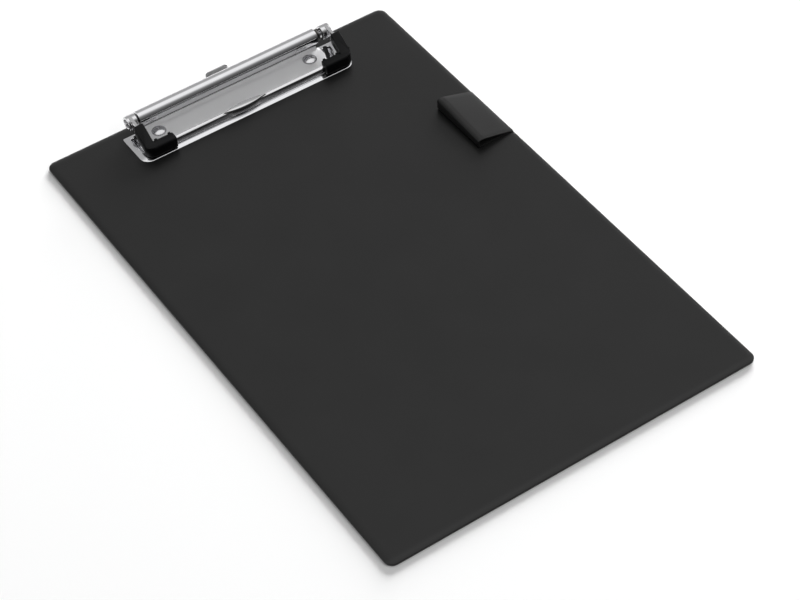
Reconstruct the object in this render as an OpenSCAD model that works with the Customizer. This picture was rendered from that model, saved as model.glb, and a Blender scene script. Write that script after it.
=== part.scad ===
// Clipboard covered in welded vinyl film, with a sprung bail clip,
// a retractable hanging hook and a pen loop on its right edge.
// X runs across the board, Y runs towards the clip, Z is up off the face.
// The origin is the centre of the flat back.

/* [Board] */
// Width of the board
board_w = 230; // [210:1:260]
// Length of the board, from the bottom edge to the edge behind the clip
board_l = 354; // [320:1:400]
// Thickness of the whole board, film included
board_t = 3; // [2.6:0.1:5]
// Thickness of each vinyl film over the panel
film_t = 0.5; // [0.3:0.05:0.7]
// Radius of the board's corners
corner_r = 5; // [4:0.5:12]
// Width of the welded rim outside the panel
weld_w = 2.4; // [1.5:0.1:4]
// How far the welded rim lies below each face
rim_step = 0.35; // [0.1:0.05:0.5]

/* [Clip base] */
// Distance of the clip's centre line from the board's centre line
clip_offset = 2.4; // [0:0.1:5]
// Width of the base plate
base_w = 143.2; // [135:0.1:160]
// Distance from the top edge of the board to the front edge of the plate
base_front = 34.8; // [34.6:0.1:40]
// Distance from the top edge of the board to the back of the plate
base_back = 3; // [2:0.1:5]
// Thickness of the plate, which is also rolled into the tube
sheet_t = 1; // [0.7:0.1:1.2]
// Radius of the plate's front corners
base_corner_r = 6; // [3:0.5:8]
// Radius of the plate's small corners
small_r = 1.2; // [0.5:0.1:2]
// Length of the side strips' ends that are cut away beside the tube
strip_back = 8.6; // [8:0.1:10]
// Width of the slots beside the middle of the plate
slot_w = 2.5; // [1.5:0.1:3]
// How far each slot's back end lies out past the tube's end
slot_out = 4.5; // [3.7:0.1:6.2]
// How far each slot's front end lies inside the tube's end
slot_in = 1; // [-2:0.1:2.4]
// Distance from the top edge of the board to the slots' back end
slot_back = 11.6; // [11.2:0.1:13]
// Distance from the top edge of the board to the slots' front end
slot_front = 26.5; // [22:0.1:28]

/* [Hinge] */
// Outer diameter of the rolled tube
tube_d = 9.6; // [9.2:0.1:10.4]
// How much shorter the rolled tube is than the plate is wide
tube_short = 22.6; // [21.4:0.1:28]
// Height of the hinge axis above the plate
hinge_rise = 8.2; // [7.5:0.1:9]
// How far round the tube the sheet is rolled, in degrees
roll_angle = 315; // [200:5:320]
// Diameter of the hinge rod
rod_d = 3; // [2.4:0.1:3.4]
// Length by which the rod stands out of each eye
rod_end = 0.8; // [0.4:0.1:1.5]
// Length of each plastic bush on the rod
bush_l = 4; // [2:0.1:6]
// Diameter of the spring wire
wire_d = 1.3; // [1:0.1:1.5]
// Turns in each torsion spring
spring_turns = 14; // [8:1:18]
// Length of each spring's straight leg
spring_leg = 9; // [6:0.5:12]

/* [Clamp] */
// Distance from each side of the plate to the corner cap on that side
cap_inset = 2; // [1:0.1:3]
// Sideways play by which the clamp sits off the clip's centre line
clamp_shift = 1.6; // [-1.6:0.1:1.6]
// Thickness of the steel band
band_t = 1.8; // [1.2:0.1:2.2]
// Height of the jaw, the front bar of the clamp
jaw_h = 4.2; // [3.5:0.1:5]
// Distance from the top edge of the board to the front of the jaw
jaw_front = 31; // [30:0.1:31.6]
// Height of the band where it leaves the caps
arm_h = 5.6; // [4.5:0.1:6]
// Outer diameter of the eyes round the rod
eye_d = 8.8; // [7:0.1:9.2]
// Width of each eye along the rod
eye_w = 6; // [4:0.1:6.4]
// How far each eye stands out past its arm
eye_out = 1.4; // [0:0.1:1.4]
// Depth of the hollow that is sunk into the eye's outer face
eye_hollow = 1.6; // [0.5:0.1:3]
// Diameter of the hollow that is sunk into the eye's outer face
eye_hollow_d = 5.4; // [4.6:0.1:5.8]
// Length of the finger lift on the jaw
lift_l = 28; // [20:1:40]
// Thickness of the finger lift at its middle
lift_t = 4.2; // [3:0.1:5]
// How far the finger lift sits from the middle of the jaw
lift_offset = -3.4; // [-6:0.1:6]
// How far the finger lift stands above the jaw
lift_rise = 0.5; // [0.2:0.1:1]

/* [Corner caps] */
// Width of the cap's arm
cap_w = 6; // [5.4:0.1:6.4]
// Depth of the cap's leg along the jaw
cap_leg_d = 6; // [5.6:0.1:6.6]
// Wall of the cap's leg in front of the jaw
cap_front_t = 3.2; // [1.5:0.1:3.4]
// Length of the cap's leg along the jaw
cap_leg_l = 19; // [15:0.5:24]
// Height of the cap at the jaw
cap_h = 7; // [6.4:0.1:8]
// Height of the cap at its back end
cap_back_h = 7.4; // [7:0.1:8.4]
// Distance from the top edge of the board to the back end of the cap
cap_back = 18.8; // [18:0.1:21]
// Height of the band's lower edge there, above the jaw's lower edge
arm_rise = 7; // [6:0.1:8]
// Outer corner radius of the cap
cap_r = 5; // [3:0.5:5.5]
// Size of the two snap lugs on the back of each cap's leg
lug = 1.4; // [1:0.1:2]

/* [Hanging hook] */
// How far the hook sits to the right of the clip's centre line
hook_shift = 1.8; // [-4:0.1:4]
// Width of the hook
hook_w = 14.8; // [13:0.1:18]
// Thickness of the hook
hook_t = 0.8; // [0.6:0.1:0.9]
// Distance that the hook slides out
hook_travel = 14; // [10:0.5:15]
// How far the hook stands out past the board when it is pushed in
hook_out = 9; // [8.6:0.1:11]
// Diameter of the hole for a nail
nail_d = 5; // [4:0.1:5.6]
// Distance from the hook's outer end to the middle of that hole
nail_back = 4.7; // [4.2:0.1:5]
// Height of the finger lip above the hook
lip_h = 3.6; // [3:0.1:5]
// Corner radius of the finger lip
lip_r = 2; // [1:0.1:3]
// Diameter of the stop peg under the plate
peg_d = 2.8; // [2:0.1:3.2]
// Distance from the top edge of the board to the stop peg
peg_back = 13.8; // [13:0.1:15]
// Length of the hook in front of its slot
hook_tail = 3; // [2:0.5:5]

/* [Rivets] */
// Distance from each side of the plate to the rivet on that side
rivet_inset = 20.1; // [18:0.1:24]
// Distance from the top edge of the board to the rivets
rivet_y = 15.8; // [15:0.1:17]
// Diameter of the rivets' shanks
rivet_d = 4; // [3:0.1:4.4]
// Diameter of the rivets' domed heads
head_d = 8.6; // [7.4:0.1:9]
// Height of the domed heads
head_h = 1.5; // [1:0.1:2]
// Diameter of the domed part of the heads
dome_d = 6.9; // [5.6:0.1:7.2]
// Diameter of the clinched tails
clinch_d = 6.2; // [5.4:0.1:6.8]
// Outer diameter of the washers in the back
washer_d = 9.6; // [8.4:0.1:11]
// Thickness of the washers
washer_t = 0.6; // [0.4:0.05:0.7]
// Depth of the seats for the washers in the back
seat_h = 1.15; // [1.1:0.05:1.3]

/* [Pen loop] */
// Length of the loop along the edge of the board
loop_l = 41.5; // [30:0.5:50]
// Reach of the loop over the face, from the board's right edge
loop_w = 24.6; // [18:0.1:30]
// Distance from the top edge of the board to the near end of the loop
loop_y = 96; // [90:0.5:120]
// Thickness of the loop's film
loop_t = 0.8; // [0.6:0.05:1]
// Outer height of the fold
loop_h = 7.2; // [6.8:0.1:8.5]
// Distance of the loop's welded end from the board's right edge
loop_edge = 0.6; // [0.4:0.1:1.5]

/* [Fits] */
// Gap between the jaw and the plate when the clamp is shut
jaw_gap = 0.3; // [0.2:0.05:0.5]
// Running clearance of the rod in its eyes and bushes, on the radius
run_gap = 0.06; // [0.03:0.01:0.1]
// Clearance between pieces that are fixed together
fix_gap = 0.05; // [0.02:0.01:0.1]
// Clearance round the sliding hook
slide_gap = 0.2; // [0.15:0.01:0.3]

/* [Hidden] */
$fn = 96;

// Edges and faces of the board
top_y = board_l / 2;
side_x = board_w / 2;
panel_w = board_w - 2 * weld_w;
panel_l = board_l - 2 * weld_w;
panel_r = max(corner_r - weld_w, 1);
shoulder = 0.6;
cut = 1;

// Clip base and hinge
plate_z = board_t + sheet_t;
tube_r = tube_d / 2;
tube_l = base_w - tube_short;
slot_back_x = tube_l / 2 + slot_out;
slot_front_x = tube_l / 2 - slot_in;
bore_r = tube_r - sheet_t;
hinge_y = top_y - base_back - tube_r;
hinge_z = plate_z + hinge_rise;
foot_overlap = 0.2;
foot_r = hinge_rise - tube_r + foot_overlap;

// Clamp
clamp_w = base_w - 2 * cap_inset;
clamp_x = clip_offset + clamp_shift;
band_half = clamp_w / 2 - (cap_w - band_t) / 2;
jaw_y = top_y - jaw_front;
jaw_z = plate_z + jaw_gap;
arm_y = top_y - cap_back;
arm_z = jaw_z + arm_rise;
eye_r = eye_d / 2;
eye_face = band_half + eye_out;
eye_bore_r = rod_d / 2 + run_gap;
arm_under = 255;
arm_over = 84;

// Corner caps
cap_y = jaw_y - cap_front_t;
cap_edge = 1;
lug_rise = 0.6;

// Springs and bushes inside the tube
wire_r = wire_d / 2;
coil_gap = 0.15;
coil_overlap = 0.06 * wire_d;
coil_r = bore_r - wire_r - coil_gap;
coil_pitch = wire_d - coil_overlap;
coil_l = wire_d + (spring_turns - 1) * coil_pitch;
coil_end = eye_face - eye_w - 2 * coil_gap;
bush_end = coil_end - coil_l - spring_leg + wire_d;

// Hook and its channel
hook_x = clip_offset + hook_shift;
side_gap = 2 * slide_gap;
end_gap = 0.5;
hook_z = board_t - slide_gap - hook_t;
channel_z = hook_z - slide_gap;
channel_w = hook_w + 2 * side_gap;
peg_y = top_y - peg_back;
hook_slot_w = peg_d + 2 * slide_gap;
hook_tail_y = peg_y - hook_travel - hook_slot_w / 2 - hook_tail;
hook_back_y = top_y + hook_out;
nail_y = hook_back_y - nail_back;
channel_y = hook_tail_y - end_gap;

// Rivets
rivet_x = base_w / 2 - rivet_inset;
shank_hole = rivet_d + 2 * fix_gap;
clinch_h = seat_h - washer_t;
back_lift = 0.25;
flange_h = 0.4;

// Pen loop
fold_r = loop_h / 2;
fold_x = side_x - loop_w + fold_r;
fold_z = board_t + fold_r;
loop_end = [side_x - loop_edge, board_t + loop_t];
loop_span = loop_end - [fold_x, fold_z];
loop_slope = asin(fold_r / norm(loop_span)) - atan2(loop_span.y, loop_span.x);

// A rectangle with four round corners, centred
module round_rect(w, l, r) {
    square([w - 2 * r, l], center = true);
    square([w, l - 2 * r], center = true);
    for (sx = [-1, 1], sy = [-1, 1])
        translate([sx * (w / 2 - r), sy * (l / 2 - r)]) circle(r);
}

// What is cut away to round a corner that points to +X and +Y
module corner_waste(r) {
    difference() {
        translate([-r, -r]) square(r + cut);
        translate([-r, -r]) circle(r);
    }
}

// A slot with round ends, from point a to point b
module slot(a, b, w) {
    d = b - a;
    translate(a) rotate(atan2(d.y, d.x)) {
        translate([0, -w / 2]) square([norm(d), w]);
        circle(d = w);
        translate([norm(d), 0]) circle(d = w);
    }
}

// A shape drawn in the Y-Z plane, extruded along X from x0 to x1
module along_x(x0, x1) {
    translate([x0, 0, 0]) rotate([90, 0, 90]) linear_extrude(x1 - x0) children();
}

// A shape drawn in the X-Z plane, extruded along Y from y0 to y1
module along_y(y0, y1) {
    translate([0, y1, 0]) rotate([90, 0, 0]) linear_extrude(y1 - y0) children();
}

// A round bar on the hinge axis, from x0 to x1
module hinge_bar(x0, x1, d) {
    translate([x0, hinge_y, hinge_z]) rotate([0, 90, 0]) cylinder(h = x1 - x0, d = d);
}

module at_rivets() {
    for (s = [-1, 1])
        translate([clip_offset + s * rivet_x, top_y - rivet_y, 0]) children();
}

// Copies a shape to both ends of the clamp, the left one mirrored
module both_ends() {
    for (s = [0, 1]) translate([clamp_x, 0, 0]) mirror([s, 0, 0]) children();
}

// Channel in the face for the sliding hook, open at the board's top edge
module hook_channel() {
    translate([hook_x - channel_w / 2, channel_y, channel_z])
        cube([channel_w, top_y - channel_y + cut, board_t - channel_z + cut]);
}

module board_core() {
    color("tan") difference() {
        translate([0, 0, film_t]) linear_extrude(board_t - 2 * film_t)
            round_rect(panel_w, panel_l, panel_r);
        hook_channel();
        at_rivets() translate([0, 0, -cut]) cylinder(h = board_t + 2 * cut, d = shank_hole);
        at_rivets() translate([0, 0, -cut])
            cylinder(h = seat_h + cut, d = washer_d + 2 * slide_gap);
    }
}

// One film: a flat sheet on the panel, and a lower rim welded at half height
module film(z_sheet, z_rim, rim_h) {
    translate([0, 0, z_sheet]) linear_extrude(film_t)
        round_rect(panel_w + 2 * shoulder, panel_l + 2 * shoulder, panel_r + shoulder);
    translate([0, 0, z_rim]) linear_extrude(rim_h) difference() {
        round_rect(board_w, board_l, corner_r);
        round_rect(panel_w, panel_l, panel_r);
    }
}

module front_cover() {
    color("#333333") difference() {
        film(board_t - film_t, board_t / 2, board_t / 2 - rim_step);
        hook_channel();
        at_rivets() cylinder(h = board_t + cut, d = shank_hole);
    }
}

module back_cover() {
    color("#2c2c2c") difference() {
        film(0, rim_step, board_t / 2 - rim_step);
        at_rivets() translate([0, 0, -cut])
            cylinder(h = board_t, d = washer_d + 2 * slide_gap);
    }
}

// Section of the folded strip, grown inwards by t for the hollow inside it
module loop_section(t) {
    r = fold_r - t;
    floor_z = board_t + t;
    end_x = t > 0 ? loop_end.x - t / sin(loop_slope) : loop_end.x;
    translate([fold_x, fold_z]) circle(r);
    polygon([[fold_x, floor_z], [end_x, floor_z], [end_x, t > 0 ? floor_z : loop_end.y],
        [fold_x + r * sin(loop_slope), fold_z + r * cos(loop_slope)], [fold_x, fold_z]]);
}

module pen_loop() {
    near_y = top_y - loop_y - loop_l;
    foot_x = side_x - weld_w + shoulder;
    color("#3a3a3a") along_y(near_y, near_y + loop_l) {
        difference() {
            loop_section(0);
            loop_section(loop_t);
        }
        translate([foot_x, board_t - rim_step]) square([loop_end.x - foot_x, rim_step + loop_t / 2]);
    }
}

module base_outline() {
    translate([clip_offset, top_y]) difference() {
        union() {
            difference() {
                translate([-base_w / 2, -base_front]) square([base_w, base_front - strip_back]);
                for (s = [0, 1]) mirror([s, 0]) {
                    translate([base_w / 2, -base_front]) mirror([0, 1]) corner_waste(base_corner_r);
                    translate([base_w / 2, -strip_back]) corner_waste(small_r);
                }
            }
            translate([-tube_l / 2, -strip_back - cut])
                square([tube_l, strip_back + cut - base_back]);
        }
        for (s = [-1, 1])
            slot([s * slot_front_x, -slot_front], [s * slot_back_x, -slot_back], slot_w);
    }
}

// Riser, rolled tube and foot: the sheet turns up behind the tube, rolls over it
// and comes down on the plate in a hollow curve
module roll_section() {
    translate([hinge_y + bore_r, board_t]) square([sheet_t, hinge_z - board_t]);
    translate([hinge_y, hinge_z]) difference() {
        circle(tube_r);
        circle(bore_r);
        polygon([[0, 0], for (a = [roll_angle, (roll_angle + 360) / 2, 360])
            2 * tube_d * [cos(a), sin(a)]]);
    }
    difference() {
        translate([hinge_y - foot_r, plate_z - sheet_t / 2])
            square([foot_r + sheet_t, foot_r + sheet_t / 2]);
        translate([hinge_y - foot_r, plate_z + foot_r]) circle(foot_r);
    }
}

module base_plate() {
    color("silver") {
        difference() {
            translate([0, 0, board_t]) linear_extrude(sheet_t) base_outline();
            at_rivets() cylinder(h = plate_z + cut, d = shank_hole);
        }
        along_x(clip_offset - tube_l / 2, clip_offset + tube_l / 2) roll_section();
        translate([hook_x, peg_y, channel_z + slide_gap / 2])
            cylinder(h = plate_z - channel_z - slide_gap / 2 - sheet_t / 2, d = peg_d);
    }
}

module rivets() {
    dome_r = dome_d / 2;
    dome_h = head_h - flange_h;
    ball_r = (dome_r * dome_r + dome_h * dome_h) / (2 * dome_h);
    color("gainsboro") at_rivets() {
        translate([0, 0, back_lift]) cylinder(h = plate_z + flange_h - back_lift, d = rivet_d);
        translate([0, 0, back_lift]) cylinder(h = clinch_h - back_lift, d = clinch_d);
        translate([0, 0, plate_z]) cylinder(h = flange_h, d = head_d);
        translate([0, 0, plate_z + flange_h]) rotate_extrude() intersection() {
            translate([0, dome_h - ball_r]) circle(ball_r);
            square([dome_r, dome_h]);
        }
    }
}

module rivet_washers() {
    color("silver") at_rivets() translate([0, 0, clinch_h]) difference() {
        cylinder(h = washer_t, d = washer_d);
        translate([0, 0, -cut]) cylinder(h = washer_t + 2 * cut, d = shank_hole);
    }
}

// A point just inside the eye's rim, at an angle round the hinge axis
function at_eye(a) = [hinge_y, hinge_z] + (eye_r - fix_gap) * [cos(a), sin(a)];

// Side view of one arm of the band, from the jaw to its eye
module arm_section() {
    polygon([[jaw_y, jaw_z], [arm_y, arm_z],
        at_eye(arm_under), [hinge_y, hinge_z], at_eye(arm_over),
        [arm_y, arm_z + arm_h], [jaw_y, jaw_z + jaw_h]]);
}

module clamp_frame() {
    lens_r = (pow(lift_l / 2, 2) + pow(lift_t / 2, 2)) / lift_t;
    color("silver") difference() {
        union() {
            both_ends() along_x(band_half - band_t, band_half) arm_section();
            both_ends() translate([-clamp_x, 0, 0])
                hinge_bar(clamp_x + eye_face - eye_w, clamp_x + eye_face, eye_d);
            translate([clamp_x - band_half, jaw_y, jaw_z]) cube([2 * band_half, band_t, jaw_h]);
            translate([clamp_x + lift_offset, jaw_y + band_t / 2, jaw_z + jaw_gap])
                linear_extrude(jaw_h + lift_rise - jaw_gap) intersection() {
                    translate([0, lens_r - lift_t / 2]) circle(lens_r, $fn = 180);
                    translate([0, lift_t / 2 - lens_r]) circle(lens_r, $fn = 180);
                }
        }
        hinge_bar(clamp_x - eye_face - cut, clamp_x + eye_face + cut, 2 * eye_bore_r);
        both_ends() translate([-clamp_x, 0, 0])
            hinge_bar(clamp_x + eye_face - eye_hollow, clamp_x + eye_face + cut, eye_hollow_d);
    }
}

// One corner cap, for the right end: a leg along the jaw and an arm that climbs
// with the band, grooved from below for it
module corner_cap() {
    half = clamp_w / 2;
    top_z = jaw_z + cap_h;
    leg_back = cap_y + cap_leg_d;
    groove_y = arm_y + cut;
    groove_z = jaw_z + jaw_h + fix_gap;
    groove_slope = (arm_z + arm_h - jaw_z - jaw_h) / (arm_y - jaw_y);
    difference() {
        union() {
            along_x(half - cap_leg_l, half) polygon([[cap_y, jaw_z], [leg_back, jaw_z],
                [leg_back, top_z], [cap_y + cap_edge, top_z], [cap_y, top_z - cap_edge]]);
            along_x(half - cap_w, half) polygon([[cap_y, jaw_z], [jaw_y, jaw_z],
                [arm_y, arm_z], [arm_y, arm_z + cap_back_h], [jaw_y, top_z],
                [cap_y + cap_edge, top_z], [cap_y, top_z - cap_edge]]);
            for (x = [half - cap_leg_l + lug, half - cap_w - 2 * lug])
                translate([x, leg_back - cut, top_z - 2 * lug])
                    cube([lug, cut + lug / 2, 2 * lug + lug_rise]);
        }
        translate([half, cap_y, jaw_z - cut]) linear_extrude(cap_h + 2 * cut)
            mirror([0, 1]) corner_waste(cap_r);
        translate([0, jaw_y - fix_gap, jaw_z - cut])
            cube([band_half + fix_gap, band_t + 2 * fix_gap, jaw_h + cut + fix_gap]);
        along_x(band_half - band_t - fix_gap, band_half + fix_gap)
            polygon([[jaw_y - fix_gap, jaw_z - cut], [groove_y, arm_z - cut],
                [groove_y, groove_z + groove_slope * (groove_y - jaw_y)],
                [jaw_y - fix_gap, groove_z]]);
    }
}

module left_corner_cap() {
    color("#161616") translate([clamp_x, 0, 0]) mirror([1, 0, 0]) corner_cap();
}

module right_corner_cap() {
    color("#161616") translate([clamp_x, 0, 0]) corner_cap();
}

module hinge_rod() {
    half = eye_face + rod_end;
    color("gray") {
        hinge_bar(clamp_x - half + rod_end, clamp_x + half - rod_end, rod_d);
        both_ends() translate([half - rod_end, hinge_y, hinge_z]) rotate([0, 90, 0])
            cylinder(h = rod_end, d1 = rod_d, d2 = rod_d - rod_end);
    }
}

// One bush, for the right end of the tube
module bush() {
    translate([-clamp_x, 0, 0]) difference() {
        hinge_bar(clamp_x + bush_end - bush_l, clamp_x + bush_end, 2 * (bore_r - fix_gap));
        hinge_bar(clamp_x + bush_end - bush_l - cut, clamp_x + bush_end + cut, 2 * eye_bore_r);
    }
}

module left_bush() {
    color("dimgray") translate([clamp_x, 0, 0]) mirror([1, 0, 0]) bush();
}

module right_bush() {
    color("dimgray") translate([clamp_x, 0, 0]) bush();
}

// One close-wound spring, for the right end, with its fixed leg along the tube
module torsion_spring() {
    start = coil_end - coil_l;
    translate([start, hinge_y, hinge_z]) rotate([0, 90, 0]) rotate_extrude()
        for (i = [0:spring_turns - 1])
            translate([coil_r, wire_r + i * coil_pitch]) circle(d = wire_d, $fn = 24);
    translate([start - spring_leg + wire_d, hinge_y, hinge_z + coil_r]) rotate([0, 90, 0])
        cylinder(h = spring_leg, d = wire_d, $fn = 24);
}

module left_torsion_spring() {
    color("darkgray") translate([clamp_x, 0, 0]) mirror([1, 0, 0]) torsion_spring();
}

module right_torsion_spring() {
    color("darkgray") translate([clamp_x, 0, 0]) torsion_spring();
}

module hanging_hook() {
    color("#6a6a6a") translate([hook_x, 0, 0]) {
        translate([0, 0, hook_z]) linear_extrude(hook_t) difference() {
            translate([-hook_w / 2, hook_tail_y]) square([hook_w, hook_back_y - hook_tail_y]);
            translate([0, nail_y]) circle(d = nail_d);
            slot([0, peg_y - hook_travel], [0, peg_y], hook_slot_w);
        }
        along_y(hook_back_y - hook_t, hook_back_y) translate([0, hook_z]) difference() {
            translate([-hook_w / 2, 0]) square([hook_w, lip_h + hook_t]);
            for (s = [0, 1]) mirror([s, 0])
                translate([hook_w / 2, lip_h + hook_t]) corner_waste(lip_r);
        }
    }
}

board_core();
front_cover();
back_cover();
pen_loop();
base_plate();
rivets();
rivet_washers();
clamp_frame();
left_corner_cap();
right_corner_cap();
hinge_rod();
left_bush();
right_bush();
left_torsion_spring();
right_torsion_spring();
hanging_hook();
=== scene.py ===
import math
import bpy
from mathutils import Matrix, Vector


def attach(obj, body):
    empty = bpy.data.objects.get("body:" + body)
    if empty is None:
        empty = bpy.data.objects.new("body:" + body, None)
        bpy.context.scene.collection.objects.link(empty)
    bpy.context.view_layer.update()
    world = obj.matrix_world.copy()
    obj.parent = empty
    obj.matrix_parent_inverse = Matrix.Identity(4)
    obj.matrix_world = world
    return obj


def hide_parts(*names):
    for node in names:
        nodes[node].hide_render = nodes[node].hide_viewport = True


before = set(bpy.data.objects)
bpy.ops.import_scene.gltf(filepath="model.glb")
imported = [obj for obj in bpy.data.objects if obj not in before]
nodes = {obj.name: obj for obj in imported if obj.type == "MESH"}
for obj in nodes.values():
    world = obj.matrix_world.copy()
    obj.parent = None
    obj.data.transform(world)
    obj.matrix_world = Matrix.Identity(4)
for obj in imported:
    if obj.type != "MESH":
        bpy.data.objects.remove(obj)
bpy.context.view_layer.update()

scene = bpy.context.scene
mm = 0.001
# Corners closer than a gap are merged, edges shorter than a sliver go, and faces that lean less
# than flatAngle degrees from each other become one
meshCare = {"gap": 0.002 * mm, "wireGap": 0.001 * mm, "sliver": 0.001 * mm, "flatAngle": 0.6}
print("frame loaded:", len(nodes), "CAD nodes")


# An sRGB hex code as the linear colour that a socket takes
def hexToLinear(code):
    parts = [int(code[i:i + 2], 16) / 255 for i in (1, 3, 5)]
    return [c / 12.92 if c <= 0.04045 else ((c + 0.055) / 1.055) ** 2.4 for c in parts] + [1.0]


# A new node: settings holds its properties and socket values, links what feeds its sockets
def addNode(tree, kind, settings=None, links=None):
    node = tree.nodes.new(kind)
    for key, value in (settings or {}).items():
        if isinstance(key, str) and hasattr(node, key):
            setattr(node, key, value)
        else:
            node.inputs[key].default_value = value
    for key, source in (links or {}).items():
        tree.links.new(source, node.inputs[key])
    return node


# A material with its shader wired up, and the object coordinates that its patterns lie in
def newMaterial(name):
    material = bpy.data.materials.new(name)
    material.use_nodes = True
    tree = material.node_tree
    tree.nodes.clear()
    shader = addNode(tree, "ShaderNodeBsdfPrincipled")
    addNode(tree, "ShaderNodeOutputMaterial", links={"Surface": shader.outputs["BSDF"]})
    place = addNode(tree, "ShaderNodeTexCoord").outputs["Object"]
    return material, tree, shader, place


def freshStart():
    if bpy.context.object and bpy.context.object.mode != "OBJECT":
        bpy.ops.object.mode_set(mode="OBJECT")
    bpy.ops.object.select_all(action="DESELECT")


def makeActive(obj):
    freshStart()
    obj.select_set(True)
    bpy.context.view_layer.objects.active = obj


def applyPlace():
    bpy.ops.object.transform_apply(location=True, rotation=True, scale=True)


def applyModifiers(obj):
    makeActive(obj)
    for modifier in list(obj.modifiers):
        bpy.ops.object.modifier_apply(modifier=modifier.name)


# One face round a centre, level or upright across X, selected and in edit mode
def startFace(size, centre, upright=False):
    freshStart()
    bpy.ops.mesh.primitive_plane_add(size=1, rotation=(0, math.pi / 2 if upright else 0, 0))
    applyPlace()
    obj = bpy.context.object
    bpy.ops.object.mode_set(mode="EDIT")
    bpy.ops.mesh.select_all(action="SELECT")
    bpy.ops.transform.resize(value=size)
    bpy.ops.transform.translate(value=centre)
    return obj


# Turns every normal outward and leaves edit mode
def endEdit():
    bpy.ops.mesh.select_all(action="SELECT")
    bpy.ops.mesh.normals_make_consistent(inside=False)
    bpy.ops.object.mode_set(mode="OBJECT")


# Selects the faces or the corners that pass a test, in edit mode
def pick(obj, kind, test):
    bpy.ops.mesh.select_mode(type=kind)
    bpy.ops.mesh.select_all(action="DESELECT")
    bpy.ops.object.mode_set(mode="OBJECT")
    for part in obj.data.polygons if kind == "FACE" else obj.data.vertices:
        part.select = test(part)
    bpy.ops.object.mode_set(mode="EDIT")


def drawOut(x, y, z):
    bpy.ops.mesh.extrude_region_move(TRANSFORM_OT_translate={"value": (x, y, z)})


# Draws the selected face up, or down where side is -1, and inward along the steps of a profile,
# each one (inset, height) in mm
def climbProfile(profile, side=1):
    drawOut(0, 0, side * profile[0][1] * mm)
    for (inset0, rise0), (inset1, rise1) in zip(profile, profile[1:]):
        bpy.ops.mesh.inset(thickness=(inset1 - inset0) * mm, use_even_offset=True)
        bpy.ops.transform.translate(value=(0, 0, side * (rise1 - rise0) * mm))


def combine(obj, tools, operation):
    for tool in tools:
        step = obj.modifiers.new("shape", "BOOLEAN")
        step.operation = operation
        step.solver = "EXACT"
        step.object = tool
    applyModifiers(obj)
    for tool in tools:
        bpy.data.objects.remove(tool)


def addBevel(obj, width, segments, angle, clamp=True):
    bevel = obj.modifiers.new("edges", "BEVEL")
    bevel.width = width
    bevel.segments = segments
    bevel.limit_method = "ANGLE"
    bevel.angle_limit = math.radians(angle)
    bevel.use_clamp_overlap = clamp


# An upright round bar, for a hole or a peg, in mm
def makePin(radius, place, bottom, top, sides=48):
    freshStart()
    bpy.ops.mesh.primitive_cylinder_add(
        vertices=sides, radius=radius * mm, depth=(top - bottom) * mm,
        location=(place[0] * mm, place[1] * mm, (bottom + top) / 2 * mm))
    applyPlace()
    return bpy.context.object


# A block between two corners in mm, its upright edges rounded
def makeBlock(low, high, cornerRadius=0, segments=8):
    block = startFace(((high[0] - low[0]) * mm, (high[1] - low[1]) * mm, 1),
                      ((low[0] + high[0]) / 2 * mm, (low[1] + high[1]) / 2 * mm, low[2] * mm))
    if cornerRadius:
        bpy.ops.mesh.bevel(offset=cornerRadius * mm, segments=segments, affect="VERTICES")
        bpy.ops.mesh.select_all(action="SELECT")
    drawOut(0, 0, (high[2] - low[2]) * mm)
    endEdit()
    return block


# A copy of a rigid CAD node, its facets merged into whole faces and its edges broken.
# reshape gives what is added to each corner's height
def softenedCopy(nodeName, edge, segments=2, angle=32, reshape=None):
    copy = nodes[nodeName].copy()
    copy.data = nodes[nodeName].data.copy()
    copy.parent = None
    for key in list(copy.keys()):
        del copy[key]
    scene.collection.objects.link(copy)
    makeActive(copy)
    bpy.ops.object.mode_set(mode="EDIT")
    bpy.ops.mesh.select_all(action="SELECT")
    bpy.ops.mesh.remove_doubles(threshold=meshCare["gap"])
    bpy.ops.mesh.dissolve_limited(angle_limit=math.radians(meshCare["flatAngle"]))
    bpy.ops.object.mode_set(mode="OBJECT")
    if reshape:
        for vert in copy.data.vertices:
            vert.co.z += reshape(vert.co)
    addBevel(copy, edge, segments, angle, clamp=False)
    applyModifiers(copy)
    return copy


# Puts a finished piece at the origin, cleans and names it, and lets it ride on its body
def settle(obj, name, material, body, smoothAngle=35):
    makeActive(obj)
    applyPlace()
    bpy.ops.object.mode_set(mode="EDIT")
    bpy.ops.mesh.select_all(action="SELECT")
    bpy.ops.mesh.dissolve_degenerate(threshold=meshCare["sliver"])
    bpy.ops.object.mode_set(mode="OBJECT")
    obj.name = name
    obj.data.name = name
    obj.data.materials.clear()
    obj.data.materials.append(material)
    bpy.ops.object.shade_smooth_by_angle(angle=math.radians(smoothAngle))
    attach(obj, body)
    return obj


# Gives a CAD node that is kept its finish
def wearMaterial(nodeName, material):
    mesh = nodes[nodeName].data
    if not mesh.materials:
        mesh.materials.append(material)
    for i in range(len(mesh.materials)):
        mesh.materials[i] = material


cameraLook = {
    "position": (-474.8 * mm, -808.8 * mm, 957.0 * mm),
    "back": (-0.3524, -0.5909, 0.7257),      # from the object towards the camera
    "roll": -4.205,
    "lens": 110.58,
    "sensor": 36,
    "clip": (0.05, 30),
}


def makeCamera(look):
    back = Vector(look["back"]).normalized()
    right = (-back).cross(Vector((0, 0, 1))).normalized()
    up = right.cross(-back)
    roll = math.radians(look["roll"])
    localX = right * math.cos(roll) + up * math.sin(roll)
    localY = up * math.cos(roll) - right * math.sin(roll)
    turn = Matrix((localX, localY, back)).transposed().to_4x4()
    data = bpy.data.cameras.new("camera")
    data.lens = look["lens"]
    data.sensor_width = look["sensor"]
    data.clip_start, data.clip_end = look["clip"]
    camera = bpy.data.objects.new("camera", data)
    camera.matrix_world = Matrix.Translation(look["position"]) @ turn
    scene.collection.objects.link(camera)
    scene.camera = camera


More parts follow.
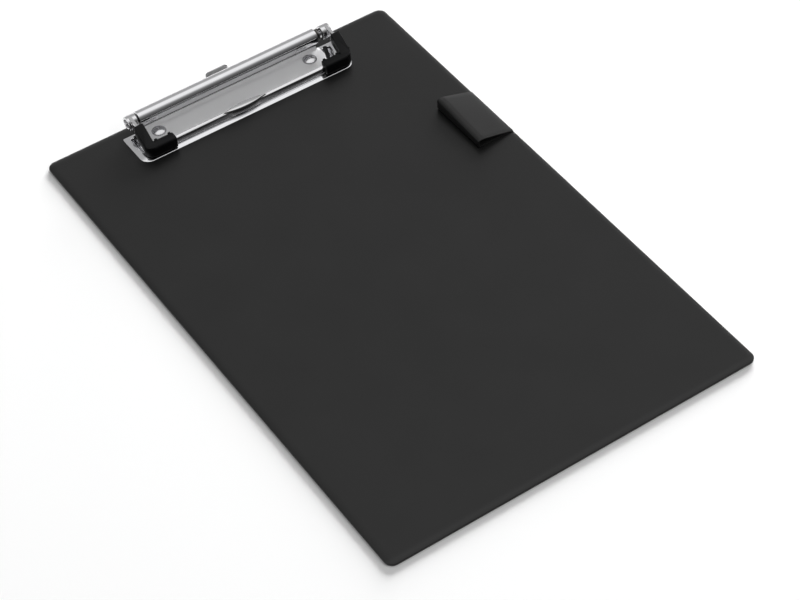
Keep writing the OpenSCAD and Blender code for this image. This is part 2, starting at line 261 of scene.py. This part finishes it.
makeCamera(cameraLook)
scene.view_settings.view_transform = "Standard"

studio = {
    "floorColour": "#ededed",
    "floorRough": 0.95,
    "floorSpecular": 0.1,
    "floorSize": 12,
    "floorDrop": 0.05 * mm,
    "floorLift": 0.1,        # what camera and mirror rays see on top of the lit floor
    "worldColour": "#ffffff",
    "worldLight": 0.11,
    # (degrees up from the front horizon and over to the back, brightness) for mirror rays
    "mirrorRoom": [(0, 0.06), (14, 0.07), (26, 0.11), (39, 0.16), (53, 0.3), (66, 0.68),
                   (76, 0.97), (86, 1.0), (112, 1.0), (119, 0.65), (127, 0.45), (140, 0.4),
                   (180, 0.46)],
    "mirrorGain": 1.15,
    # name, direction to the lamp, distance, size, watts
    "lamps": [
        ("keySoftbox", (0.742, 0.628, 0.235), 5.0, (3.2, 2.6), 834),
        ("overheadSoftbox", (0.0, -0.2, 1.0), 5.0, (3.6, 3.6), 50),
        ("frontFill", (0.35, -0.73, 0.59), 5.0, (2.6, 2.6), 62),
    ],
}


def makeFloor(look):
    material, tree, shader, _ = newMaterial("seamlessPaper")
    shader.inputs["Base Color"].default_value = hexToLinear(look["floorColour"])
    shader.inputs["Roughness"].default_value = look["floorRough"]
    shader.inputs["Specular IOR Level"].default_value = look["floorSpecular"]
    rays = addNode(tree, "ShaderNodeLightPath")
    seen = addNode(tree, "ShaderNodeMath", {"operation": "MAXIMUM"},
                   {0: rays.outputs["Is Camera Ray"], 1: rays.outputs["Is Glossy Ray"]})
    glow = addNode(tree, "ShaderNodeMath", {"operation": "MULTIPLY", 1: look["floorLift"]},
                   {0: seen.outputs[0]})
    shader.inputs["Emission Color"].default_value = (1, 1, 1, 1)
    tree.links.new(glow.outputs[0], shader.inputs["Emission Strength"])
    freshStart()
    bpy.ops.mesh.primitive_plane_add(size=look["floorSize"], location=(0, 0, -look["floorDrop"]))
    floor = bpy.context.object
    floor.name = "floor"
    floor.data.materials.append(material)


def makeWorld(look):
    # White to the camera and a plain dim fill to the object. Mirror rays see a room of their own:
    # dim in front, broad and white overhead, with a grey wall behind
    world = bpy.data.worlds.new("studioWorld")
    scene.world = world
    world.use_nodes = True
    tree = world.node_tree
    tree.nodes.clear()
    rays = addNode(tree, "ShaderNodeLightPath")
    heading = addNode(tree, "ShaderNodeSeparateXYZ",
                      links={0: addNode(tree, "ShaderNodeTexCoord").outputs["Generated"]})
    front = addNode(tree, "ShaderNodeMath", {"operation": "MULTIPLY", 1: -1.0},
                    {0: heading.outputs["Y"]})
    climb = addNode(tree, "ShaderNodeMath", {"operation": "ARCTAN2"},
                    {0: heading.outputs["Z"], 1: front.outputs[0]})
    share = addNode(tree, "ShaderNodeMath", {"operation": "DIVIDE", 1: math.pi, "use_clamp": True},
                    {0: climb.outputs[0]})
    ramp = addNode(tree, "ShaderNodeValToRGB", links={0: share.outputs[0]})
    stops = ramp.color_ramp.elements
    for i, (angle, level) in enumerate(look["mirrorRoom"]):
        stop = stops[i] if i < 2 else stops.new(angle / 180)
        stop.position = angle / 180
        stop.color = (level, level, level, 1)
    white = addNode(tree, "ShaderNodeBackground", {"Color": (1, 1, 1, 1), "Strength": 1.0})
    plain = addNode(tree, "ShaderNodeBackground",
                    {"Color": hexToLinear(look["worldColour"]), "Strength": look["worldLight"]})
    mirror = addNode(tree, "ShaderNodeBackground", {"Strength": look["mirrorGain"]},
                     {"Color": ramp.outputs["Color"]})
    forGloss = addNode(tree, "ShaderNodeMixShader", links={
        0: rays.outputs["Is Glossy Ray"], 1: plain.outputs[0], 2: mirror.outputs[0]})
    forEye = addNode(tree, "ShaderNodeMixShader", links={
        0: rays.outputs["Is Camera Ray"], 1: forGloss.outputs[0], 2: white.outputs[0]})
    addNode(tree, "ShaderNodeOutputWorld", links={"Surface": forEye.outputs[0]})


def makeLamps(look):
    for name, direction, distance, size, watts in look["lamps"]:
        data = bpy.data.lights.new(name, "AREA")
        data.shape = "RECTANGLE"
        data.size, data.size_y = size
        data.energy = watts
        lamp = bpy.data.objects.new(name, data)
        towards = Vector(direction).normalized()
        lamp.location = towards * distance
        lamp.rotation_euler = towards.to_track_quat("Z", "Y").to_euler()
        lamp.visible_glossy = False
        scene.collection.objects.link(lamp)


makeFloor(studio)
makeWorld(studio)
makeLamps(studio)
print("camera and studio ready")


def calenderedVinyl(name, look):
    # Plasticised PVC film rolled on an embossed drum: a shallow leather grain, half matt
    spread = 0.05        # how far the roughness wanders either way
    material, tree, shader, place = newMaterial(name)
    cells = addNode(tree, "ShaderNodeTexVoronoi",
                    {"feature": "SMOOTH_F1", "Scale": 1 / look["grain"], "Smoothness": 0.6,
                     "Randomness": 0.9}, {"Vector": place})
    cloud = addNode(tree, "ShaderNodeTexNoise", {"Scale": 1 / look["cloud"], "Detail": 3.0},
                    {"Vector": place})
    shade = addNode(tree, "ShaderNodeMixRGB",
                    {1: hexToLinear(look["dark"]), 2: hexToLinear(look["light"])},
                    {0: cloud.outputs["Fac"]})
    tree.links.new(shade.outputs[0], shader.inputs["Base Color"])
    rough = addNode(tree, "ShaderNodeMapRange",
                    {"To Min": look["rough"] - spread, "To Max": look["rough"] + spread},
                    {"Value": cloud.outputs["Fac"]})
    tree.links.new(rough.outputs[0], shader.inputs["Roughness"])
    bump = addNode(tree, "ShaderNodeBump", {"Strength": look["bump"], "Distance": 0.08 * mm},
                   {"Height": cells.outputs["Distance"]})
    tree.links.new(bump.outputs[0], shader.inputs["Normal"])
    shader.inputs["Specular IOR Level"].default_value = look["specular"]
    return material


vinylFace = calenderedVinyl("calenderedVinylFace", {
    "dark": "#171717", "light": "#1b1b1b", "grain": 0.9 * mm, "cloud": 34 * mm,
    "rough": 0.34, "bump": 0.25, "specular": 0.35})
vinylBack = calenderedVinyl("calenderedVinylBack", {
    "dark": "#1f1f20", "light": "#252526", "grain": 0.9 * mm, "cloud": 34 * mm,
    "rough": 0.5, "bump": 0.4, "specular": 0.35})
vinylLoop = calenderedVinyl("polishedVinylLoop", {
    "dark": "#171717", "light": "#1c1c1c", "grain": 1.1 * mm, "cloud": 9 * mm,
    "rough": 0.46, "bump": 0.25, "specular": 0.3})


def platedSteel(name, look):
    # Steel under nickel and chrome, or bare zinc: a mirror softened by fine lines and haze. lines
    # is how long, wide and high its marks are, in mm. Metal inside the box of a panel, where there
    # is one, carries a matt silver lacquer
    hazeSize = 7 * mm
    hazeRange = (0.3, 0.7)       # the part of the noise that the roughness follows
    roughRange = (0.8, 1.25)     # the roughness over that part, as a share of the given one
    material, tree, shader, place = newMaterial(name)
    grainPlace = addNode(tree, "ShaderNodeMapping",
                         {"Scale": [1 / (size * mm) for size in look["lines"]]}, {"Vector": place})
    lines = addNode(tree, "ShaderNodeTexNoise", {"Scale": 1.0, "Detail": 2.0},
                    {"Vector": grainPlace.outputs[0]})
    haze = addNode(tree, "ShaderNodeTexNoise", {"Scale": 1 / hazeSize, "Detail": 3.0},
                   {"Vector": place})
    shade = addNode(tree, "ShaderNodeMixRGB",
                    {1: hexToLinear(look["dark"]), 2: hexToLinear(look["light"])},
                    {0: haze.outputs["Fac"]})
    rough = addNode(tree, "ShaderNodeMapRange",
                    {"From Min": hazeRange[0], "From Max": hazeRange[1],
                     "To Min": look["rough"] * roughRange[0],
                     "To Max": look["rough"] * roughRange[1]},
                    {"Value": haze.outputs["Fac"]})
    colour, roughness = shade.outputs[0], rough.outputs[0]
    if "panel" in look:
        panel = look["panel"]
        spot = addNode(tree, "ShaderNodeSeparateXYZ", links={0: place})
        for axis, (low, high) in enumerate(zip(panel["low"], panel["high"])):
            half = (high - low) / 2 * mm
            fromMiddle = addNode(tree, "ShaderNodeMath",
                                 {"operation": "SUBTRACT", 1: (low + high) / 2 * mm},
                                 {0: spot.outputs[axis]})
            distance = addNode(tree, "ShaderNodeMath", {"operation": "ABSOLUTE"},
                               {0: fromMiddle.outputs[0]})
            inside = addNode(tree, "ShaderNodeMapRange",
                             {"From Min": half - panel["blend"], "From Max": half,
                              "To Min": 1.0, "To Max": 0.0}, {"Value": distance.outputs[0]})
            if axis == 0:
                mask = inside.outputs[0]
            else:
                mask = addNode(tree, "ShaderNodeMath", {"operation": "MULTIPLY"},
                               {0: mask, 1: inside.outputs[0]}).outputs[0]
        colour = addNode(tree, "ShaderNodeMixRGB", {2: hexToLinear(panel["colour"])},
                         {0: mask, 1: colour}).outputs[0]
        metal = addNode(tree, "ShaderNodeMapRange", {"To Min": 1.0, "To Max": panel["metal"]},
                        {"Value": mask})
        tree.links.new(metal.outputs[0], shader.inputs["Metallic"])
        satin = addNode(tree, "ShaderNodeMapRange", {"To Min": 0.0, "To Max": panel["rough"]},
                        {"Value": mask})
        roughness = addNode(tree, "ShaderNodeMath", {"operation": "MAXIMUM"},
                            {0: roughness, 1: satin.outputs[0]}).outputs[0]
    else:
        shader.inputs["Metallic"].default_value = 1.0
    tree.links.new(colour, shader.inputs["Base Color"])
    tree.links.new(roughness, shader.inputs["Roughness"])
    bump = addNode(tree, "ShaderNodeBump", {"Strength": look["bump"], "Distance": 0.02 * mm},
                   {"Height": lines.outputs["Fac"]})
    tree.links.new(bump.outputs[0], shader.inputs["Normal"])
    return material


chromePlate = platedSteel("nickelChromedSheet", {
    "dark": "#d6d6d8", "light": "#e0e0e2", "rough": 0.09, "bump": 0.06, "lines": (6, 0.5, 0.5),
    "panel": {"low": (-59.5, 145.6, -2.8), "high": (64.5, 169.2, 5.6), "blend": 0.8 * mm,
              "colour": "#eeeeef", "rough": 0.5, "metal": 0.0}})
chromeBand = platedSteel("nickelChromedBand", {
    "dark": "#d4d4d6", "light": "#dededf", "rough": 0.16, "bump": 0.12, "lines": (6, 0.5, 0.5)})
rivetSteel = platedSteel("platedRivetSteel", {
    "dark": "#cececf", "light": "#dadadc", "rough": 0.24, "bump": 0.08, "lines": (1, 1, 1)})
zincWasher = platedSteel("zincPlatedWasher", {
    "dark": "#8f9092", "light": "#a6a7a9", "rough": 0.42, "bump": 0.5, "lines": (0.8, 0.8, 0.8)})
drawnRod = platedSteel("drawnPlatedRod", {
    "dark": "#a8a8aa", "light": "#bababc", "rough": 0.26, "bump": 0.3, "lines": (9, 0.3, 0.3)})
springWire = platedSteel("oiledSpringWire", {
    "dark": "#5c5a58", "light": "#747270", "rough": 0.32, "bump": 0.3, "lines": (0.6, 0.6, 0.6)})


def mouldedPlastic(name, look):
    # Injection moulded: a skin of fine spark-eroded texture with a faint flow cloud
    cloudSize = 6 * mm
    spread = 0.06        # how far the roughness wanders either way
    material, tree, shader, place = newMaterial(name)
    grain = addNode(tree, "ShaderNodeTexNoise", {"Scale": 1 / look["grain"], "Detail": 2.0},
                    {"Vector": place})
    cloud = addNode(tree, "ShaderNodeTexNoise", {"Scale": 1 / cloudSize, "Detail": 2.0},
                    {"Vector": place})
    shade = addNode(tree, "ShaderNodeMixRGB",
                    {1: hexToLinear(look["dark"]), 2: hexToLinear(look["light"])},
                    {0: cloud.outputs["Fac"]})
    tree.links.new(shade.outputs[0], shader.inputs["Base Color"])
    rough = addNode(tree, "ShaderNodeMapRange",
                    {"To Min": look["rough"] - spread, "To Max": look["rough"] + spread},
                    {"Value": grain.outputs["Fac"]})
    tree.links.new(rough.outputs[0], shader.inputs["Roughness"])
    bump = addNode(tree, "ShaderNodeBump", {"Strength": look["bump"], "Distance": 0.04 * mm},
                   {"Height": grain.outputs["Fac"]})
    tree.links.new(bump.outputs[0], shader.inputs["Normal"])
    shader.inputs["IOR"].default_value = look["ior"]
    shader.inputs["Specular IOR Level"].default_value = look["specular"]
    return material


capPlastic = mouldedPlastic("mouldedBlackAbs", {
    "dark": "#070708", "light": "#0b0b0c", "rough": 0.36, "bump": 0.25, "grain": 0.5 * mm,
    "ior": 1.53, "specular": 0.14})
hookPlastic = mouldedPlastic("mouldedGreyPolypropylene", {
    "dark": "#acacad", "light": "#b6b6b7", "rough": 0.38, "bump": 0.2, "grain": 0.6 * mm,
    "ior": 1.49, "specular": 0.5})
bushPlastic = mouldedPlastic("mouldedAcetal", {
    "dark": "#1c1c1d", "light": "#262627", "rough": 0.4, "bump": 0.2, "grain": 0.4 * mm,
    "ior": 1.48, "specular": 0.5})


def pressedGreyboard(name, look):
    # Grey chipboard: short pressed fibres, dull and slightly blotched. fibres is how long, wide
    # and high they are, in mm
    material, tree, shader, place = newMaterial(name)
    fibrePlace = addNode(tree, "ShaderNodeMapping",
                         {"Scale": [1 / (size * mm) for size in look["fibres"]]},
                         {"Vector": place})
    fibres = addNode(tree, "ShaderNodeTexNoise", {"Scale": 1.0, "Detail": 4.0},
                     {"Vector": fibrePlace.outputs[0]})
    shade = addNode(tree, "ShaderNodeMixRGB",
                    {1: hexToLinear(look["dark"]), 2: hexToLinear(look["light"])},
                    {0: fibres.outputs["Fac"]})
    tree.links.new(shade.outputs[0], shader.inputs["Base Color"])
    bump = addNode(tree, "ShaderNodeBump", {"Strength": look["bump"], "Distance": 0.1 * mm},
                   {"Height": fibres.outputs["Fac"]})
    tree.links.new(bump.outputs[0], shader.inputs["Normal"])
    shader.inputs["Roughness"].default_value = look["rough"]
    return material


greyboard = pressedGreyboard("pressedGreyboard", {
    "dark": "#7a6a55", "light": "#96866f", "rough": 0.85, "bump": 0.5, "fibres": (2.5, 0.5, 0.5)})
print("finishes ready")

coverShape = {
    "width": 230 * mm, "length": 354 * mm, "cornerRadius": 5 * mm, "cornerSegments": 8,
    # The face on the seam is the one that lies within seamReach of it and is level: its normal
    # points more than seamLevel of the way up or down
    "seamZ": 1.5 * mm, "seamReach": 0.01 * mm, "seamLevel": 0.9,
    # (inset from the board's outline, height over the seam) in mm, from the seam to the panel.
    # The whole inset stays under the corner radius, or the corners fold over
    "profile": [(0.0, 0.2), (0.03, 0.4), (0.11, 0.56), (0.26, 0.68), (0.5, 0.79), (0.8, 0.91),
                (1.1, 1.02), (1.4, 1.12), (1.7, 1.2), (2.1, 1.29), (2.5, 1.36), (2.9, 1.41),
                (3.4, 1.455), (4.0, 1.485), (4.75, 1.5)],
    "coreInset": 2.4 * mm, "coreHeight": 1.0 * mm,
    "smoothAngle": 50,
}
# The box that is cut out of the front film for the hook, in mm
channelCut = {"low": (-4.0, 144.1, 1.8), "high": (12.4, 179, 5)}
# Where the rivets go, in mm: the shank's hole through the front film and the plate, and the wider
# seat for the washer in the back film, each with the heights between which it is cut
rivetHoles = {
    "places": [(-49.1, 161.2), (53.9, 161.2)],
    "shankRadius": 2.05, "filmZ": (1, 4), "plateZ": (2, 5),
    "seatRadius": 5.0, "seatZ": (-1, 2),
}


def makeCover(name, shape, side, cutters, material, nodeName):
    # One film, up or down from the seam: a soft shoulder, the flat panel, and room for the core
    cover = startFace((shape["width"], shape["length"], 1), (0, 0, shape["seamZ"]))
    bpy.ops.mesh.bevel(offset=shape["cornerRadius"], segments=shape["cornerSegments"],
                       affect="VERTICES")
    bpy.ops.mesh.select_all(action="SELECT")
    climbProfile(shape["profile"], side)
    pick(cover, "FACE", lambda face: abs(face.center.z - shape["seamZ"]) < shape["seamReach"]
         and abs(face.normal.z) > shape["seamLevel"])
    bpy.ops.mesh.inset(thickness=shape["coreInset"])
    drawOut(0, 0, side * shape["coreHeight"])
    endEdit()
    combine(cover, cutters, "DIFFERENCE")
    settle(cover, name, material, "board", shape["smoothAngle"])
    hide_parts(nodeName)


def makeChannelCutter(cut):
    freshStart()
    bpy.ops.mesh.primitive_cube_add(size=1)
    cutter = bpy.context.object
    low, high = Vector(cut["low"]) * mm, Vector(cut["high"]) * mm
    cutter.location = (low + high) / 2
    cutter.scale = high - low
    applyPlace()
    return cutter


makeCover("frontVinylCover", coverShape, 1,
          [makeChannelCutter(channelCut)]
          + [makePin(rivetHoles["shankRadius"], place, *rivetHoles["filmZ"])
             for place in rivetHoles["places"]],
          vinylFace, "front_cover")
makeCover("backVinylCover", coverShape, -1,
          [makePin(rivetHoles["seatRadius"], place, *rivetHoles["seatZ"])
           for place in rivetHoles["places"]],
          vinylBack, "back_cover")
print("covers done")

loopShape = {
    "y": (39.5 * mm, 81.0 * mm),
    # The strip's line in X and in height over the board's face, in mm: a lip down at the upper
    # weld, flat to the fold, round it, and back along the face
    "floorZ": 3.0, "weldX": 114.3, "weldHeight": 0.75, "weldLip": 0.55,
    "foldX": 90.5, "foldRadius": 3.5,
    "foldSquare": 0.3,                       # how far the round fold bulges into its corners
    "upperSteps": 10, "foldSteps": 16, "lowerSteps": 7,
    "crossSteps": 12,
    "nearEnd": 0.74, "farEnd": 1.03,         # the height at each end, as a share of the line's
    "weldDrop": 0.45 * mm,                   # the most that the weld sinks with the cover's edge
    "thickness": 0.8 * mm, "edge": 0.18 * mm, "edgeSegments": 2, "edgeAngle": 60,
    "smoothAngle": 50,
}


def loopLine(shape):
    r = shape["foldRadius"]
    centre = Vector((shape["foldX"] + r, r))
    end = Vector((shape["weldX"], shape["weldHeight"]))
    span = end - centre
    tilt = math.asin(r / span.length) - math.atan2(span.y, span.x)
    line = [end + Vector((0.0, -shape["weldLip"])), end]
    tangent = centre + r * Vector((math.sin(tilt), math.cos(tilt)))
    for i in range(1, shape["upperSteps"] + 1):
        line.append(end.lerp(tangent, i / shape["upperSteps"]))
    turn = math.pi / 2 - tilt
    for i in range(1, shape["foldSteps"] + 1):
        a = turn + (1.5 * math.pi - turn) * i / shape["foldSteps"]
        bulge = 1 + shape["foldSquare"] * math.sin(2 * a) ** 2
        line.append(centre + r * bulge * Vector((math.cos(a), math.sin(a))))
    below, weld = Vector((centre.x, 0)), Vector((shape["weldX"], 0.0))
    for i in range(1, shape["lowerSteps"] + 1):
        line.append(below.lerp(weld, i / shape["lowerSteps"]))
    return line


def shoulderDrop(shape, x):
    # How far the cover lies below its panel at a place near the board's right edge
    inset = (shape["width"] / 2 - x) / mm
    top = shape["profile"][-1][1]
    for (inset0, rise0), (inset1, rise1) in zip(shape["profile"], shape["profile"][1:]):
        if inset0 <= inset <= inset1:
            return (top - rise0 - (rise1 - rise0) * (inset - inset0) / (inset1 - inset0)) * mm
    return 0.0


def makePenLoop(shape):
    # One edge of a face, drawn out along the line, then cut across so that its near end can sag
    line = loopLine(shape)
    low, high = shape["y"]
    middleX = line[0].x * mm - 0.5
    loop = startFace((1, high - low, 1),
                     (middleX, (low + high) / 2, (shape["floorZ"] + line[0].y) * mm))
    pick(loop, "VERT", lambda vert: vert.co.x < middleX)
    bpy.ops.mesh.delete(type="VERT")
    bpy.ops.mesh.select_all(action="SELECT")
    for a, b in zip(line, line[1:]):
        step = (b - a) * mm
        drawOut(step.x, 0, step.y)
    bpy.ops.mesh.select_all(action="SELECT")
    bpy.ops.mesh.normals_make_consistent(inside=False)
    for i in range(1, shape["crossSteps"]):
        y = low + (high - low) * i / shape["crossSteps"]
        bpy.ops.mesh.select_all(action="SELECT")
        bpy.ops.mesh.bisect(plane_co=(0, y, 0), plane_no=(0, 1, 0))
    bpy.ops.object.mode_set(mode="OBJECT")
    floor, weld = shape["floorZ"] * mm, shape["weldHeight"] * mm
    for vert in loop.data.vertices:
        along = (vert.co.y - low) / (high - low)
        height = vert.co.z - floor
        if height > weld:
            ease = along * along * (3 - 2 * along)
            lift = shape["nearEnd"] + (shape["farEnd"] - shape["nearEnd"]) * ease
            vert.co.z = floor + weld + (height - weld) * lift
        vert.co.z -= min(shoulderDrop(coverShape, vert.co.x), shape["weldDrop"])
    wall = loop.modifiers.new("wall", "SOLIDIFY")
    wall.thickness = shape["thickness"]
    wall.offset = -1
    addBevel(loop, shape["edge"], shape["edgeSegments"], shape["edgeAngle"])
    applyModifiers(loop)
    settle(loop, "penLoopStrip", vinylLoop, "board", shape["smoothAngle"])
    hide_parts("pen_loop")


makePenLoop(loopShape)
print("pen loop done")

# The base plate with its tube and foot, in mm
plateShape = {
    "centreX": 2.4, "width": 143.2, "front": 142.2, "back": 168.4, "bottomZ": 3.0, "sheet": 1.0,
    "cornerRadius": 6.0, "cornerSegments": 10,
    # (inset from the outline, height over the board's face): a pressed rim that climbs to the flat
    "profile": [(0.0, 0.1), (0.08, 0.22), (0.25, 0.31), (0.9, 0.46), (1.6, 0.63), (2.3, 0.79),
                (3.0, 0.93), (3.5, 0.985), (4.1, 1.0)],
    # The block that rounds the back corners. It reaches outlineOver past the plate's front
    "backRadius": 1.2, "outlineOver": 20, "outlineZ": (2, 6),
    "slotFront": (59.3, 150.5), "slotBack": (64.8, 165.4), "slotWidth": 2.5, "slotZ": (2, 5),
    "slotSegments": 12,
    "slotRound": 0.999,      # a hair short of half the width, so that no edge shrinks to nothing
    "peg": (4.2, 163.2), "pegRadius": 1.4, "pegZ": (1.9, 3.5),
    "tubeLength": 120.6, "axis": (169.2, 12.2), "tubeRadius": 4.8, "rollAngle": 315,
    "rollSteps": 63, "topReach": 0.01, "tongueLap": 6,
    "footRadius": 3.6, "footSides": 112, "footSink": 0.5, "footInset": 0.06,
    "smoothAngle": 24,
}


def makeSlotCutter(shape, side):
    front, back = [Vector((side * x + shape["centreX"], y))
                   for x, y in (shape["slotFront"], shape["slotBack"])]
    span = back - front
    half = shape["slotWidth"] / 2
    bottom, top = shape["slotZ"]
    cutter = makeBlock((-half, -span.length / 2 - half, bottom),
                       (half, span.length / 2 + half, top),
                       half * shape["slotRound"], shape["slotSegments"])
    cutter.rotation_euler.z = math.atan2(span.y, span.x) - math.pi / 2
    cutter.location = ((front + back) / 2 * mm).to_3d()
    applyPlace()
    return cutter


def makeRoll(shape):
    # The riser's section, its top edge spun round the hinge axis, all drawn out along the axis
    y, z = shape["axis"]
    outer = y + shape["tubeRadius"]
    low = shape["bottomZ"]
    start = (shape["centreX"] - shape["tubeLength"] / 2) * mm
    roll = startFace((1, shape["sheet"] * mm, (z - low) * mm),
                     (start, (outer - shape["sheet"] / 2) * mm, (z + low) / 2 * mm), upright=True)
    pick(roll, "VERT", lambda vert: vert.co.z > (z - shape["topReach"]) * mm)
    bpy.ops.mesh.spin(steps=shape["rollSteps"], angle=-math.radians(shape["rollAngle"]),
                      center=(start, y * mm, z * mm), axis=(1, 0, 0))
    bpy.ops.mesh.select_all(action="SELECT")
    bpy.ops.mesh.remove_doubles(threshold=meshCare["gap"])
    drawOut(shape["tubeLength"] * mm, 0, 0)
    endEdit()
    return roll


def makeFoot(shape):
    # The hollow curve in which the roll comes down on the plate: a bar with a round one cut out
    # of it. Its ends stay just inside the roll's
    y, z = shape["axis"]
    r, sink = shape["footRadius"], shape["footSink"]
    top = shape["bottomZ"] + shape["sheet"]
    length = shape["tubeLength"] - 2 * shape["footInset"]
    start = (shape["centreX"] - length / 2) * mm
    foot = startFace((1, (r + shape["sheet"]) * mm, (r + sink) * mm),
                     (start, (y - r + (r + shape["sheet"]) / 2) * mm, (top + (r - sink) / 2) * mm),
                     upright=True)
    drawOut(length * mm, 0, 0)
    endEdit()
    freshStart()
    bpy.ops.mesh.primitive_cylinder_add(
        vertices=shape["footSides"], radius=r * mm, depth=1,
        location=(0, (y - r) * mm, (top + r) * mm), rotation=(0, math.pi / 2, 0))
    applyPlace()
    combine(foot, [bpy.context.object], "DIFFERENCE")
    return foot


def makeBasePlate(shape, holes):
    centre, half = shape["centreX"], shape["width"] / 2
    front, back = shape["front"], shape["back"]
    plate = startFace((shape["width"] * mm, (back - front) * mm, 1),
                      (centre * mm, (back + front) / 2 * mm, shape["bottomZ"] * mm))
    pick(plate, "VERT", lambda vert: vert.co.y < (back + front) / 2 * mm)
    bpy.ops.mesh.bevel(offset=shape["cornerRadius"] * mm, segments=shape["cornerSegments"],
                       affect="VERTICES")
    bpy.ops.mesh.select_mode(type="FACE")
    bpy.ops.mesh.select_all(action="SELECT")
    climbProfile(shape["profile"])
    endEdit()
    bottom, top = shape["outlineZ"]
    outline = makeBlock((centre - half, front - shape["outlineOver"], bottom),
                        (centre + half, back, top), shape["backRadius"])
    combine(plate, [outline], "INTERSECT")
    reach = shape["tubeLength"] / 2
    tongue = makeBlock((centre - reach, back - shape["tongueLap"], shape["bottomZ"]),
                       (centre + reach, shape["axis"][0] + shape["tubeRadius"],
                        shape["bottomZ"] + shape["sheet"]))
    peg = makePin(shape["pegRadius"], shape["peg"], *shape["pegZ"])
    combine(plate, [tongue, makeRoll(shape), makeFoot(shape), peg], "UNION")
    combine(plate, [makeSlotCutter(shape, side) for side in (-1, 1)]
            + [makePin(holes["shankRadius"], place, *holes["plateZ"])
               for place in holes["places"]], "DIFFERENCE")
    return plate


basePlate = settle(makeBasePlate(plateShape, rivetHoles), "clipBasePlate", chromePlate, "board",
                   plateShape["smoothAngle"])
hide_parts("base_plate")

# The band's front bar is the jaw. Its top, given in mm, leans down by frontDrop at the front
bandShape = {"edge": 0.3 * mm, "jawFront": 146.0, "jawBack": 147.8, "jawTop": 8.5,
             "frontDrop": 0.75, "topReach": 0.02, "sideReach": 0.05}


def jawSlope(co):
    y, z = co.y / mm, co.z / mm
    front, back, reach = bandShape["jawFront"], bandShape["jawBack"], bandShape["sideReach"]
    if abs(z - bandShape["jawTop"]) > bandShape["topReach"] or not front - reach < y < back + reach:
        return 0.0
    return -bandShape["frontDrop"] * mm * (back - y) / (back - front)


clampBand = settle(softenedCopy("clamp_frame", bandShape["edge"], reshape=jawSlope),
                   "clampBand", chromeBand, "clamp")
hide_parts("clamp_frame")

capShape = {"edge": 0.55 * mm, "edgeSegments": 3}
for side in ("left", "right"):
    cap = settle(softenedCopy(side + "_corner_cap", capShape["edge"], capShape["edgeSegments"]),
                 side + "CornerCap", capPlastic, "clamp")
    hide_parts(side + "_corner_cap")

hookShape = {"edge": 0.2 * mm}
hook = settle(softenedCopy("hanging_hook", hookShape["edge"]), "hangingHook", hookPlastic, "hook")
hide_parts("hanging_hook")

# The springs, in mm. start is measured along X from the middle of the clamp, clampX
springShape = {
    "clampX": 4.0, "axis": (169.2, 12.2), "start": 45.42, "coilRadius": 3.0,
    "wireRadius": 0.635, "wireSides": 12,
    "pitch": 1.3,            # a little over the wire's width, so that no two turns touch
    "turns": 12, "stepsPerTurn": 30, "bend": 0.7, "bendSteps": 6, "leg": 7.4,
    "endReach": 0.3,         # the wire's inner end lies no further than this from the start
    "smoothAngle": 60,
}


def makeSpring(shape, side):
    # A ring of wire, screwed along the hinge axis, its inner end bent over into a straight leg
    y, z = shape["axis"]
    first = shape["start"] + shape["wireRadius"]
    freshStart()
    bpy.ops.mesh.primitive_circle_add(vertices=shape["wireSides"], radius=shape["wireRadius"] * mm,
                                      rotation=(math.pi / 2, 0, 0))
    spring = bpy.context.object
    applyPlace()
    bpy.ops.object.mode_set(mode="EDIT")
    bpy.ops.mesh.select_all(action="SELECT")
    bpy.ops.transform.translate(value=(first * mm, 0, shape["coilRadius"] * mm))
    bpy.ops.object.mode_set(mode="OBJECT")
    coil = spring.modifiers.new("coil", "SCREW")
    coil.axis = "X"
    coil.angle = 2 * math.pi
    coil.screw_offset = shape["pitch"] * mm
    coil.iterations = shape["turns"]
    coil.steps = shape["stepsPerTurn"]
    coil.render_steps = shape["stepsPerTurn"]
    applyModifiers(spring)
    bpy.ops.object.mode_set(mode="EDIT")
    bpy.ops.mesh.select_mode(type="VERT")
    bpy.ops.mesh.select_all(action="SELECT")
    bpy.ops.mesh.remove_doubles(threshold=meshCare["wireGap"])
    bpy.ops.mesh.select_all(action="SELECT")
    bpy.ops.mesh.fill_holes(sides=shape["wireSides"])
    bpy.ops.mesh.select_all(action="SELECT")
    bpy.ops.mesh.normals_make_consistent(inside=False)
    pick(spring, "FACE", lambda face: len(face.vertices) == shape["wireSides"]
         and face.center.x < (first + shape["endReach"]) * mm)
    bpy.ops.object.mode_set(mode="OBJECT")
    end = [face for face in spring.data.polygons if face.select][0]
    towards = 1 if end.normal.y > 0 else -1
    bpy.ops.object.mode_set(mode="EDIT")
    bpy.ops.mesh.spin(steps=shape["bendSteps"], angle=-towards * math.pi / 2, axis=(0, 0, 1),
                      center=((first - shape["bend"]) * mm, 0, shape["coilRadius"] * mm))
    drawOut(-shape["leg"] * mm, 0, 0)
    bpy.ops.mesh.select_all(action="SELECT")
    bpy.ops.transform.translate(value=(0, y * mm, z * mm))
    bpy.ops.object.mode_set(mode="OBJECT")
    spring.scale.x = side
    applyPlace()
    bpy.ops.object.mode_set(mode="EDIT")
    bpy.ops.mesh.select_all(action="SELECT")
    bpy.ops.transform.translate(value=(shape["clampX"] * mm, 0, 0))
    endEdit()
    return spring


for side, name in ((-1, "left"), (1, "right")):
    spring = settle(makeSpring(springShape, side), name + "TorsionSpring", springWire, "board",
                    springShape["smoothAngle"])
    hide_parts(name + "_torsion_spring")

for nodeName, material in {
    "board_core": greyboard, "rivets": rivetSteel, "rivet_washers": zincWasher,
    "hinge_rod": drawnRod, "left_bush": bushPlastic, "right_bush": bushPlastic,
}.items():
    wearMaterial(nodeName, material)
print("clip done")
